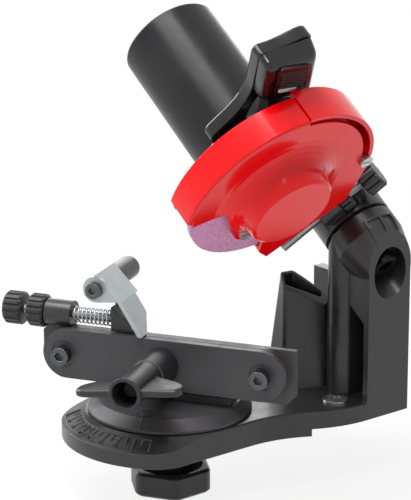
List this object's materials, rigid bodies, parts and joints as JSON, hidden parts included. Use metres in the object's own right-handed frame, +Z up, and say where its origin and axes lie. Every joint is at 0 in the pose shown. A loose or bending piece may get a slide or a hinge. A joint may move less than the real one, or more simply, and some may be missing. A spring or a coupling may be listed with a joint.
{
  "type": "saw chain grinder",
  "caption": "Bench saw-chain grinder: a sprung motor head swings a guarded grinding wheel down onto a chain held in a swivelling rail vise with an adjustable stop.",
  "frame": {"origin": "midway between the two bench bolts, on the bench face", "axes": "+X to the side the hub faces, +Y to the back, +Z up"},
  "size_m": [0.1971, 0.1979, 0.2777],
  "materials": {
    "black_moulding": "moulded, semi-gloss with a fine grain",
    "black_gloss": "polished",
    "black_knob": "satin",
    "motor_black": "satin black paint",
    "rail_black": "smooth black paint",
    "red_guard": "glossy red",
    "abrasive": "mauve vitrified grit",
    "zinc": "bright zinc plate",
    "black_steel": "black oxide",
    "steel": "turned steel",
    "copper": "copper",
    "bronze": "sintered bronze",
    "ferrite": "sintered ferrite",
    "inner_plastic": "plain"
  },
  "bodies": {
    "base": {"base_casting": "black_moulding", "bench_eyelets": "zinc", "hinge_bolt": "black_steel", "hinge_washer": "zinc", "hinge_nut": "zinc", "hinge_spring": "copper", "swivel_washer": "zinc"},
    "swivel_lock": {"swivel_knob": "black_knob"},
    "vise": {"turntable": "black_moulding", "swivel_bolt": "black_steel", "rear_rail": "rail_black", "jaw_guide_screws": "black_steel", "clamp_bolt": "black_steel", "stop_block": "black_moulding", "stop_spring": "zinc"},
    "front_jaw": {"front_rail": "rail_black"},
    "wing": {"wing_nut": "black_knob"},
    "stop_slide": {"stop_carriage": "black_moulding", "pawl_screw": "zinc"},
    "pawl": {"stop_pawl": "zinc"},
    "stop_adjuster": {"stop_adjuster_knob": "black_knob", "stop_rod": "zinc"},
    "stop_lock": {"stop_lock_nut": "black_knob"},
    "head": {"head_arm": "black_moulding", "hinge_bush": "bronze", "motor_tube": "motor_black", "motor_end_cap": "motor_black", "field_magnets": "ferrite", "bearing_outer_rings": "steel", "bearing_balls": "steel", "brush_holder": "inner_plastic", "carbon_brushes": "inner_plastic", "wheel_housing": "red_guard", "wheel_cover": "red_guard", "cover_screws": "zinc", "guard_screws": "zinc", "handle_front": "black_gloss", "handle_rear": "black_gloss", "handle_screws": "zinc", "switch_body": "inner_plastic"},
    "rotor": {"motor_shaft": "steel", "armature_core": "steel", "armature_windings": "copper", "commutator": "copper", "cooling_fan": "inner_plastic", "bearing_inner_rings": "steel", "wheel_rear_flange": "steel", "grinding_wheel": "abrasive", "wheel_front_flange": "steel", "wheel_nut": "steel"},
    "switch": {"switch_paddle": "black_knob"},
    "depth_screw": {"depth_rod": "zinc"},
    "depth_grip": {"depth_knob": "black_knob"},
    "depth_lock": {"depth_lock_nut": "black_knob"}
  },
  "joints": [
    {"name": "head_swing", "type": "hinge", "parent": "base", "child": "head", "pos_m": [0.056, 0.0258, 0.0845], "axis": [0.8, 0, -0.6], "range_deg": [0, 38], "stiffness_Nm_per_rad": 1.6, "springref_deg": -60.16},
    {"name": "wheel_spin", "type": "hinge", "parent": "head", "child": "rotor", "pos_m": [0.07434, -0.0634, 0.13812], "axis": [0.8, 0, -0.6], "continuous": true},
    {"name": "switch_press", "type": "slide", "parent": "head", "child": "switch", "axis": [-0.8, 0, 0.6], "range_m": [0, 0.0016], "stiffness_N_per_m": 800, "springref_m": -0.001},
    {"name": "depth_slide", "type": "slide", "parent": "head", "child": "depth_screw", "axis": [0.4974, 0.5592, 0.6632], "range_m": [-0.008, 0.012]},
    {"name": "depth_turn", "type": "hinge", "parent": "depth_screw", "child": "depth_grip", "pos_m": [0.02798, 0.00706, 0.12131], "axis": [0.4974, 0.5592, 0.6632], "range_deg": [-2881, 4321]},
    {"name": "depth_lock_turn", "type": "hinge", "parent": "head", "child": "depth_lock", "pos_m": [0.02798, 0.00706, 0.12131], "axis": [0.4974, 0.5592, 0.6632], "continuous": true},
    {"name": "vise_swivel", "type": "hinge", "parent": "base", "child": "vise", "pos_m": [-0.011, -0.08, 0.01], "axis": [0, 0, 1], "range_deg": [-65, 5]},
    {"name": "swivel_lock_turn", "type": "hinge", "parent": "base", "child": "swivel_lock", "pos_m": [-0.011, -0.08, -0.03], "axis": [0, 0, 1], "continuous": true},
    {"name": "jaw_slide", "type": "slide", "parent": "vise", "child": "front_jaw", "axis": [-0.5, 0.866, 0], "range_m": [-0.0006, 0.0007]},
    {"name": "wing_turn", "type": "hinge", "parent": "front_jaw", "child": "wing", "pos_m": [0.009, -0.11464, 0.0389], "axis": [-0.5, 0.866, 0], "range_deg": [-173.3, 202.1]},
    {"name": "stop_travel", "type": "slide", "parent": "vise", "child": "stop_slide", "axis": [0.866, 0.5, 0], "range_m": [-0.004, 0.0035], "deforming": ["stop_spring"]},
    {"name": "stop_turn", "type": "hinge", "parent": "stop_slide", "child": "stop_adjuster", "pos_m": [-0.06136, -0.11277, 0.06], "axis": [0.866, 0.5, 0], "range_deg": [-1801, 1576]},
    {"name": "stop_lock_turn", "type": "hinge", "parent": "vise", "child": "stop_lock", "pos_m": [-0.07695, -0.12177, 0.06], "axis": [0.866, 0.5, 0], "continuous": true},
    {"name": "pawl_flip", "type": "hinge", "parent": "stop_slide", "child": "pawl", "pos_m": [-0.04434, -0.09925, 0.0795], "axis": [-0.5, 0.866, 0], "range_deg": [-80, 0]}
  ],
  "couplings": [
    {"joint": "depth_turn", "follows": "depth_slide", "rad_per_m": 6283.2},
    {"joint": "wing_turn", "follows": "jaw_slide", "rad_per_m": 5026.5},
    {"joint": "stop_turn", "follows": "stop_travel", "rad_per_m": 7854}
  ]
}
